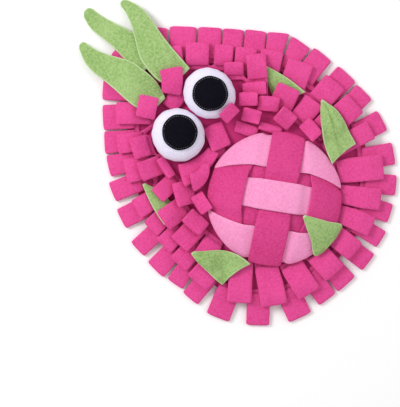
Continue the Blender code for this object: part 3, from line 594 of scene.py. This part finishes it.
def fold_tab(tab, plan, heights, seed):
    """Middle surface of a folded tab, and the upper face that others lie on."""
    bend = bend_start(tab)
    stations = tab_stations(tab)
    radius = (FLEECE + tab.gap) / 2
    turn = [math.pi * k / (FOLD_STEPS + 1) for k in range(1, FOLD_STEPS + 1)]
    path = [(s, FLEECE / 2, 0.0) for s in stations[:-1]]
    path += [(bend + radius * math.sin(a), FLEECE / 2 + radius * (1.0 - math.cos(a)), 0.0) for a in turn]
    for s in stations[-2::-1]:
        share = s / bend
        rise = 1.5 * FLEECE + tab.gap * (SEAM_GAP + (1.0 - SEAM_GAP) * share)
        path.append((s, rise, math.sin(math.pi * share) ** 0.7 if 0.0 < share < 1.0 else 0.0))
    across = np.linspace(-1.0, 1.0, TAB_COLUMNS)
    points = np.zeros((TAB_COLUMNS, len(path), 3))
    for i in range(TAB_COLUMNS):
        crown = 1.0 - PUFF_EDGE * across[i] ** 2
        reach = tab.length - CORNER * abs(across[i]) ** 6
        for j, (s, rise, bulge) in enumerate(path):
            s = min(s, reach)
            x = np.interp(s, stations, plan[i, :, 0])
            y = np.interp(s, stations, plan[i, :, 1])
            z = np.interp(s, stations, heights[i]) + rise + PUFF * bulge * crown
            points[i, j] = (x, y, z)
    loose = points[:, TAB_STATIONS:]
    loose[..., 2] += WAVER * np.abs(waver(loose[..., 0], loose[..., 1], seed))
    top = points[:, TAB_STATIONS + FOLD_STEPS // 2:].copy()
    top[..., 2] += FLEECE / 2
    return points, top


def row_plan(tabs, closed):
    """Flat layout of a row, header and tabs, and which columns are joined."""
    count = len(tabs)
    plans = []
    for k, tab in enumerate(tabs):
        before = tabs[k - 1] if closed or k > 0 else None
        after = tabs[(k + 1) % count] if closed or k < count - 1 else None
        plans.append(tab_plan(tab, before, after))
    plan = np.concatenate(plans)
    foot = plan[:, 0]
    inward = np.array(ROW_CENTRE) - foot
    inward /= np.linalg.norm(inward, axis=1)[:, None]
    header = np.stack([foot + inward * HEADER_WIDTH * share for share in (1.0, 0.5)], axis=1)
    plan = np.concatenate((header, plan), axis=1)
    joined = np.ones(plan.shape[:2], dtype=bool)
    joined[TAB_COLUMNS - 1::TAB_COLUMNS, 3:] = False
    if not closed:
        joined[-1] = False
    return plan, joined


def make_row(node, pile, tabs, closed, seed):
    """One row of tabs, cut and sewn as a comb along its inner edge.

    A tab whose seam would run into a stuffed piece is made shorter."""
    while True:
        plan, joined = row_plan(tabs, closed)
        heights = drape(pile, plan[..., 0], plan[..., 1], joined)
        band = np.dstack((plan[:, :3], heights[:, :3] + FLEECE / 2))
        sheets = []
        fitted = []
        for k, tab in enumerate(tabs):
            rows = slice(k * TAB_COLUMNS, (k + 1) * TAB_COLUMNS)
            points, top = fold_tab(tab, plan[rows, 2:], heights[rows, 2:], seed + k)
            sheets.append((points, top))
            edge = band[rows] + (0.0, 0.0, FLEECE / 2)
            if tab.length > SHORTEST_TAB and (pile.crowded(top) or pile.crowded(edge)):
                tab = tab._replace(length=tab.length - 1.0)
            fitted.append(tab)
        if fitted == tabs:
            break
        tabs = fitted
    shape = bmesh.new()
    if closed:
        band = np.concatenate((band, band[:1]))
    add_sheet(shape, band)
    pile.lay(band + (0.0, 0.0, FLEECE / 2))
    for points, top in sheets:
        add_sheet(shape, points)
        pile.lay(top)
    piece = cloth_piece(node, shape, FLEECE, "pink")


def make_loop(node, pile, loop, seed):
    """One folded loop with both ends in its own seam."""
    while True:
        plan = tab_plan(loop)
        joined = np.ones(plan.shape[:2], dtype=bool)
        joined[-1] = False
        heights = drape(pile, plan[..., 0], plan[..., 1], joined, over=loop.over)
        points, top = fold_tab(loop, plan, heights, seed)
        if loop.over or loop.length <= SHORTEST_TAB or not pile.crowded(top):
            break
        loop = loop._replace(length=loop.length - 1.0)
    shape = bmesh.new()
    add_sheet(shape, points)
    pile.lay(top)
    piece = cloth_piece(node, shape, FLEECE, "pink")


# ---- leaves and scales ----

def smooth_run(values, steps):
    """A smooth curve through values, with the given steps between two of them."""
    values = np.asarray(values, dtype=float)
    ends = np.concatenate((2 * values[:1] - values[1:2], values, 2 * values[-1:] - values[-2:-1]))
    result = []
    for a, b, c, d in zip(ends, ends[1:], ends[2:], ends[3:]):
        for k in range(steps):
            t = k / steps
            result.append(0.5 * (2 * b + (c - a) * t + (2 * a - 5 * b + 4 * c - d) * t ** 2
                                 + (3 * b - a - 3 * c + d) * t ** 3))
    result.append(values[-1])
    return np.array(result)


def rounded(sections):
    """The sections with the last one drawn as a round tip."""
    result = list(sections[:-1])
    foot = np.array(result[-1][:4]).reshape(2, 2)
    middle = foot.mean(axis=0)
    reach = np.array(sections[-1][:4]).reshape(2, 2).mean(axis=0) - middle
    for turn in TIP_TURNS:
        angle = math.radians(turn)
        ends = middle + (foot - middle) * math.cos(angle) + reach * math.sin(angle)
        result.append(Section(*ends.ravel()))
    return result


def leaf_plan(sections, steps, columns):
    """Places of a leaf laid flat, and the share of the width at which each lies.

    A narrow strip along the edge and the tip is its cut edge."""
    sides = smooth_run([tuple(section) for section in sections], steps)
    back = sides[-2] - sides[-1]
    sides = np.insert(sides, -1, sides[-1] + back * EDGE_WIDTH / np.hypot(*back[:2]), axis=0)
    width = np.hypot(sides[:, 2] - sides[:, 0], sides[:, 3] - sides[:, 1])
    edge = np.minimum(EDGE_WIDTH / width, 0.2)[:, None]
    inner = edge + (1.0 - 2.0 * edge) * np.linspace(0.0, 1.0, columns - 2)
    share = np.concatenate((0.0 * edge, inner, 1.0 + 0.0 * edge), axis=1)
    x = sides[:, :1] + (sides[:, 2:3] - sides[:, :1]) * share
    y = sides[:, 1:2] + (sides[:, 3:4] - sides[:, 1:2]) * share
    y += sides[:, 4:5] * 4.0 * share * (1.0 - share)
    return x, y, share, width


def crease_shape(crease, share, width):
    """How far the cloth dips and steps along its crease."""
    line = np.linspace(crease.foot, crease.tip, len(share))[:, None]
    away = (share - line) * width[:, None] / crease.size
    side = 0.5 + 0.5 * np.tanh(2.0 * away)
    return (crease.step * side - crease.depth * np.exp(-away ** 2)) * np.clip(width / 20.0, 0.0, 1.0)[:, None]


def make_leaf(node, pile, sections, steps, columns, steepest, crown, seed, over=False, crease=None):
    """A leaf or scale: one sheet that bows up between its edges."""
    x, y, share, width = leaf_plan(sections, steps, columns)
    joined = np.ones(x.shape, dtype=bool)
    joined[-1] = False
    heights = drape(pile, x, y, joined, steepest, over)
    bow = crown * (1.0 - (2.0 * share - 1.0) ** 2) * np.clip(width / 18.0, 0.0, 1.0)[:, None]
    if crease:
        bow += crease_shape(crease, share, width)
    z = heights + LEAF_THICKNESS / 2 + bow + 2 * WAVER * np.abs(waver(x, y, seed, 2 * WAVER_SIZE))
    places = np.dstack((x, y, z))
    shape = bmesh.new()
    add_sheet(shape, places)
    # The rows and columns along the edge are the cut edge, which is paler.
    for face in shape.faces:
        if any(edge.is_boundary for edge in face.edges):
            face.material_index = 1
    pile.lay(places + (0.0, 0.0, LEAF_THICKNESS / 2))
    piece = cloth_piece(node, shape, LEAF_THICKNESS, "green")


# ---- base ----

def base_outline():
    """Outline of the base sheet, a smooth run inside the outer tabs' tips."""
    outline = []
    for tab in OUTER_ROW:
        (along_x, along_y), _ = heading_vectors(tab.heading)
        outline.append((tab.x - BASE_INSET * along_x, tab.y - BASE_INSET * along_y))
    smooth = []
    for k, (x, y) in enumerate(outline):
        before, after = outline[k - 1], outline[(k + 1) % len(outline)]
        smooth.append(((before[0] + 2 * x + after[0]) / 4, (before[1] + 2 * y + after[1]) / 4))
    return smooth


def inside(outline, x, y):
    """True where (x, y) lies inside the closed outline."""
    result = np.zeros(np.shape(x), dtype=bool)
    for (ax, ay), (bx, by) in zip(outline, outline[1:] + outline[:1]):
        if ay != by:
            crosses = (ay > y) != (by > y)
            result ^= crosses & (x < (bx - ax) * (y - ay) / (by - ay) + ax)
    return result


def make_base(pile):
    """Base sheet: rings of one sheet drawn in from its outline to its middle."""
    outline = base_outline()
    ring = np.array(outline + outline[:1], dtype=float)
    middle = np.array(ROW_CENTRE)
    rings = np.stack([middle + (ring - middle) * share for share in np.linspace(0.04, 1.0, 18)], axis=1)
    height = np.full(rings.shape[:2], BASE_THICKNESS / 2)
    shape = bmesh.new()
    add_sheet(shape, np.dstack((rings, height)))
    bmesh.ops.remove_doubles(shape, verts=shape.verts, dist=0.01 * MM)
    hole = [edge for edge in shape.edges if edge.is_boundary and edge.calc_length() < 5 * MM]
    bmesh.ops.holes_fill(shape, edges=hole, sides=0)
    piece = add_object("base_mat_cloth", shape, "felt")
    thicken(piece, BASE_THICKNESS)
    round_edges(piece, 0.7)
    finish_piece(piece, "base_mat")
    grid_x, grid_y = pile.grid()
    pile.lay_surface(inside(outline, grid_x, grid_y), BASE_THICKNESS)


# ---- belly ----

def dome_height(radius, height, distance, power=0.5):
    """Height of a dome at a distance from its axis, an ellipse for a power of 0.5."""
    return height * np.clip(1.0 - (distance / radius) ** 2, 0.0, 1.0) ** power


def turned_place(centre, radius, direction, flat, z):
    """A place at a share of the radius from an upright axis, in metres."""
    across = math.hypot(direction.x, direction.y)
    if across < 1e-6:
        return Vector((centre[0], centre[1], z)) * MM
    x = centre[0] + radius[0] * flat * direction.x / across
    y = centre[1] + radius[1] * flat * direction.y / across
    return Vector((x, y, z)) * MM


def make_belly_pad(pile):
    """Stuffed pad under the weave, on a foot that is narrower than its rim."""
    radius, height = BELLY_PAD
    floor = BASE_THICKNESS + FOOT_CLEAR
    knee = (BELLY_FOOT + 4.0, floor + 3.0)
    shape = bmesh.new()
    ball = bmesh.ops.create_uvsphere(shape, u_segments=48, v_segments=24, radius=1.0)
    for vertex in ball["verts"]:
        direction = vertex.co.normalized()
        flat = math.hypot(direction.x, direction.y)
        if direction.z >= 0.0:
            z = BELLY_FLOOR + float(dome_height(1.0, height, flat, BELLY_POWER))
        else:
            z = BELLY_FLOOR + direction.z * 2 * (BELLY_FLOOR - floor)
            z = max(z, floor)
            flat = min(flat, 1.0) if z > floor else flat ** 0.3 * BELLY_FOOT / radius
            widest = np.interp(z, (floor, knee[1], BELLY_FLOOR), (BELLY_FOOT, knee[0], radius))
            flat = min(flat, widest / radius)
        vertex.co = turned_place(BELLY_CENTRE, (radius, radius), direction, flat, z)
    piece = add_object("belly_pad_cloth", shape, "belly")
    finish_piece(piece, "belly_pad")
    x, y = pile.grid()
    distance = np.hypot(x - BELLY_CENTRE[0], y - BELLY_CENTRE[1])
    weave_radius, weave_height = (size + WEAVE_STEP + FLEECE / 2 + FOOT_CLEAR for size in BELLY_WEAVE)
    cover = BELLY_FLOOR + dome_height(weave_radius, weave_height, distance, BELLY_POWER)
    underside = np.interp(distance, (BELLY_FOOT, knee[0], radius), (floor, knee[1], BELLY_FLOOR))
    pile.stand(distance < WEAVE_REACH * weave_radius, underside, cover)


def weave_bow(offset):
    """How far cloth at an offset from the dome's middle line bends round the dome."""
    straight, full = WEAVE_BEND
    return WEAVE_BOW * min(1.0, max(0.0, (abs(offset) - straight) / (full - straight)))


def crossing_offset(u, v):
    """Offset of the crossing line through a place on the dome, in shares of the radius."""
    offset = u
    for _ in range(12):
        offset = (offset + u / math.sqrt(1.0 - weave_bow(offset) * v * v)) / 2
    return offset


def weave_level(u, v, crossed, number, dark):
    """0 where a strip runs under the one that it crosses, 1 over it, and smooth between."""
    position = crossing_offset(u, v)
    if position >= 0.0:
        low, high = crossed[1][1], crossed[2][0]
    else:
        low, high = -crossed[1][0], -crossed[0][1]
    low += 2 * WEAVE_MARGIN
    high -= 2 * WEAVE_MARGIN
    share = min(1.0, max(0.0, (abs(position) - low) / (high - low)))
    ease = share * share * (3.0 - 2.0 * share)
    middle = float((number % 2 == 0) == dark)
    return middle + (1.0 - 2.0 * middle) * ease


def crossed_strips(own):
    """Edges of the strips that a strip crosses, as places along it.

    The light strips run against the direction in which the dark ones are counted."""
    if own is DARK_WEAVE:
        return LIGHT_WEAVE.strips
    return tuple((-high, -low) for low, high in reversed(DARK_WEAVE.strips))


def strip_places(number, edges, dark):
    """Places on the dome along a strip, in shares of its radius, closer at its ends."""
    even = np.linspace(-1.0, 1.0, STRIP_ROWS)
    along = np.sin(np.linspace(-math.pi / 2, math.pi / 2, STRIP_ROWS)) * 0.35 + even * 0.65
    places = np.zeros((STRIP_ROWS, STRIP_COLUMNS, 2))
    for j, share in enumerate(np.linspace(0.0, 1.0, STRIP_COLUMNS)):
        for i, t in enumerate(along):
            if number == 1:
                offset = edges[0] + (edges[1] - edges[0]) * share
                bow = weave_bow(offset)
                u = t * math.sqrt((WEAVE_REACH ** 2 - offset ** 2) / (1.0 - bow * offset ** 2))
                v = offset * math.sqrt(1.0 - bow * u * u)
            else:
                edge = min(abs(edges[0]), abs(edges[1]))
                end = math.sqrt((WEAVE_REACH ** 2 - edge ** 2) / (1.0 - WEAVE_BOW * edge ** 2))
                u = t * end * (DARK_END if dark else LIGHT_END)
                inner = edge * math.sqrt(1.0 - WEAVE_BOW * u * u)
                v = inner + (math.sqrt(WEAVE_REACH ** 2 - u * u) - inner) * share ** 0.8
                v *= number - 1
            places[i, j] = (u, v)
    return places


def make_strip(node, number, own):
    """One strip of the woven belly, bent over the dome like a band around a ball."""
    dark = own is DARK_WEAVE
    along, across = heading_vectors(own.heading)
    radius, height = BELLY_WEAVE
    plan = strip_places(number, own.strips[number], dark)
    places = np.zeros((*plan.shape[:2], 3))
    for index in np.ndindex(plan.shape[:2]):
        u, v = plan[index]
        rise = weave_level(u, v, crossed_strips(own), number, dark) * WEAVE_STEP
        x = BELLY_CENTRE[0] + (radius + rise) * (u * along[0] + v * across[0])
        y = BELLY_CENTRE[1] + (radius + rise) * (u * along[1] + v * across[1])
        z = BELLY_FLOOR + float(dome_height(1.0, height + rise, math.hypot(u, v), BELLY_POWER))
        places[index] = (x, y, z)
    shape = bmesh.new()
    add_sheet(shape, places)
    piece = cloth_piece(node, shape, FLEECE, "belly" if dark else "light")


# ---- eyes ----

def unevenness(angle, seed):
    """Share by which a hand-sewn round outline is larger or smaller in a direction."""
    slow = math.sin(2 * angle + 1.3 * seed) + 0.6 * math.sin(3 * angle + 2.1 * seed)
    return 0.011 * slow + 0.007 * math.sin(7 * angle + seed)


def make_eye(eye, pile):
    """A stuffed white eye, a flat ball on a small foot."""
    floor = BASE_THICKNESS + FOOT_CLEAR
    shape = bmesh.new()
    ball = bmesh.ops.create_uvsphere(shape, u_segments=64, v_segments=36, radius=1.0)
    for vertex in ball["verts"]:
        direction = vertex.co.normalized()
        flat = math.hypot(direction.x, direction.y)
        swell = EYE_CROWN if direction.z >= 0.0 else EYE_MIDDLE - floor
        z = EYE_MIDDLE + swell * direction.z
        angle = math.atan2(direction.y, direction.x)
        gathers = GATHERS * math.sin(15 * angle + 2 * math.sin(2 * angle)) * (1.0 - abs(direction.z)) ** 2
        flat *= 1.0 + unevenness(angle, eye.x) + gathers
        vertex.co = turned_place((eye.x, eye.y), (eye.radius_x, eye.radius_y), direction, flat, z)
    piece = add_object("eye_white_" + eye.side + "_knit", shape, "white")
    finish_piece(piece, "eye_white_" + eye.side)
    x, y = pile.grid()
    distance = np.hypot(x - eye.x, (y - eye.y) * eye.radius_x / eye.radius_y)
    top = EYE_MIDDLE + dome_height(eye.radius_x, EYE_CROWN, distance)
    underside = EYE_MIDDLE - dome_height(eye.radius_x, EYE_MIDDLE - floor, distance)
    pile.stand(distance < eye.radius_x, underside, top)


def eye_skin(eye, x, y):
    """Height of the white eye's skin under a place."""
    distance = math.hypot(x - eye.x, (y - eye.y) * eye.radius_x / eye.radius_y)
    return EYE_MIDDLE + float(dome_height(eye.radius_x, EYE_CROWN, distance))


def make_disc(eye):
    """The black disc of an eye, drawn down along the ring of stitches that holds it."""
    shape = bmesh.new()
    bmesh.ops.create_circle(shape, cap_ends=True, segments=48, radius=eye.disc_radius)
    middle = list(shape.faces)
    for _ in range(DISC_RINGS):
        bmesh.ops.inset_region(shape, faces=middle, thickness=eye.disc_radius * DISC_RING, use_boundary=True)
    for vertex in shape.verts:
        share = vertex.co.length / eye.disc_radius
        wide = 1.0 + unevenness(math.atan2(vertex.co.y, vertex.co.x), eye.disc_x)
        x, y = vertex.co.x * wide + eye.disc_x, vertex.co.y * wide + eye.disc_y
        sewn = STITCH_DIP * math.exp(-((1.0 - share) * eye.disc_radius - STITCH_INSET) ** 2)
        z = eye_skin(eye, x, y) + DISC_THICKNESS / 2 + CLEAR - sewn
        vertex.co = Vector((x, y, z)) * MM
    piece = add_object("eye_black_" + eye.side + "_plush", shape, "black")
    thicken(piece, DISC_THICKNESS)
    round_edges(piece, 0.5)
    finish_piece(piece, "eye_black_" + eye.side)


def make_stitches(eye):
    """Short stitches of thread around a black disc, just inside its rim."""
    shape = bmesh.new()
    ring = eye.disc_radius - STITCH_INSET
    pitch = 2 * math.pi / STITCHES
    for k in range(STITCHES):
        angle = pitch * k
        wide = ring * (1.0 + unevenness(angle, eye.disc_x))
        x, y = eye.disc_x + wide * math.cos(angle), eye.disc_y + wide * math.sin(angle)
        z = eye_skin(eye, x, y) + DISC_THICKNESS + CLEAR - 0.1
        ball = bmesh.ops.create_uvsphere(shape, u_segments=8, v_segments=6, radius=1.0)
        turn = Matrix.Rotation(angle, 3, "Z")
        half_length = ring * pitch * 0.36
        for vertex in ball["verts"]:
            across, along, up = vertex.co
            bead = Vector((across * THREAD_RADIUS, along * half_length, up * THREAD_RADIUS))
            vertex.co = (turn @ bead + Vector((x, y, z))) * MM
    piece = add_object("eye_stitches_" + eye.side, shape, "thread")
    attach(piece, "root")


# ---- stage ----

def make_floor():
    shape = bmesh.new()
    bmesh.ops.create_grid(shape, x_segments=1, y_segments=1, size=4.0)
    mesh = bpy.data.meshes.new("floor")
    shape.to_mesh(mesh)
    shape.free()
    mesh.materials.append(floor_material())
    link_object("floor", mesh)


def add_light(name, location, size, power):
    """A round soft light that shines on the middle of the mat."""
    data = bpy.data.lights.new(name, "AREA")
    data.shape = "DISK"
    data.size = size
    data.energy = power
    light = link_object(name, data)
    light.location = location
    light.rotation_euler = (Vector(LIT_PLACE) - Vector(location)).to_track_quat("-Z", "Y").to_euler()


def make_stage():
    scene = bpy.context.scene
    scene.view_settings.view_transform = "Standard"
    world = bpy.data.worlds.new("studio")
    world.use_nodes = True
    background = world.node_tree.nodes["Background"]
    background.inputs["Color"].default_value = (1.0, 1.0, 1.0, 1.0)
    background.inputs["Strength"].default_value = 0.66
    scene.world = world
    add_light("key", (-0.35, 1.05, 1.25), 0.7, 14.0)
    add_light("fill", (0.9, -0.6, 1.3), 1.2, 4.0)


def make_camera():
    """Straight above the mat, which lies turned by 45 degrees in the photo."""
    data = bpy.data.cameras.new("camera")
    data.sensor_fit = "HORIZONTAL"
    data.sensor_width = 36.0
    data.lens = data.sensor_width * CAMERA_HEIGHT / PHOTO_WIDTH
    data.clip_end = 20.0
    camera = link_object("camera", data)
    right = Vector((1.0, -1.0, 0.0)).normalized()
    up = Vector((1.0, 1.0, 0.0)).normalized()
    back = Vector((0.0, 0.0, 1.0))
    camera.matrix_world = Matrix((right, up, back)).transposed().to_4x4()
    camera.matrix_world.translation = Vector((*PHOTO_CENTRE, CAMERA_HEIGHT)) * MM
    bpy.context.scene.camera = camera


def make_mat():
    pile = Pile()
    make_base(pile)
    make_belly_pad(pile)
    for number in range(3):
        make_strip(f"belly_dark_{number + 1}", number, DARK_WEAVE)
        make_strip(f"belly_light_{number + 1}", number, LIGHT_WEAVE)
    for eye in EYES:
        make_eye(eye, pile)
        make_disc(eye)
        make_stitches(eye)
    make_row("tab_row_1", pile, OUTER_ROW, True, 100)
    make_row("tab_row_2", pile, SECOND_ROW, True, 200)
    make_loop("brow_loop_1", pile, BROW_LOOPS[0], 61)
    for seed, side in enumerate(("centre", "left", "right")):
        sections = rounded(LEAVES[side])
        make_leaf(
            "crown_leaf_" + side, pile, sections, LEAF_STEPS, LEAF_COLUMNS, LEAF_STEEPEST, LEAF_CROWN,
            seed,
        )
    for seed, place in enumerate(("upper_left", "upper_right"), start=10):
        make_leaf(
            "scale_" + place, pile, SCALES[place], SCALE_STEPS, LEAF_COLUMNS, STEEPEST, SCALE_CROWN,
            seed,
        )
    make_row("tab_row_3_left", pile, THIRD_ROW_LEFT, False, 300)
    make_row("tab_row_3_right", pile, THIRD_ROW_RIGHT, False, 320)
    for number, loop in enumerate(BROW_LOOPS[1:], start=2):
        make_loop(f"brow_loop_{number}", pile, loop, 60 + number)
    for number, loop in enumerate(FACE_LOOPS, start=1):
        make_loop(f"face_loop_{number:02d}", pile, loop, 80 + number)
    for seed, place in enumerate(("lower_left", "lower_right", "bottom"), start=20):
        make_leaf(
            "scale_" + place, pile, SCALES[place], SCALE_STEPS, CREASED_COLUMNS, STEEPEST, SCALE_CROWN,
            seed, over=True, crease=CREASES.get(place),
        )


make_camera()
make_stage()
make_floor()
make_mat()
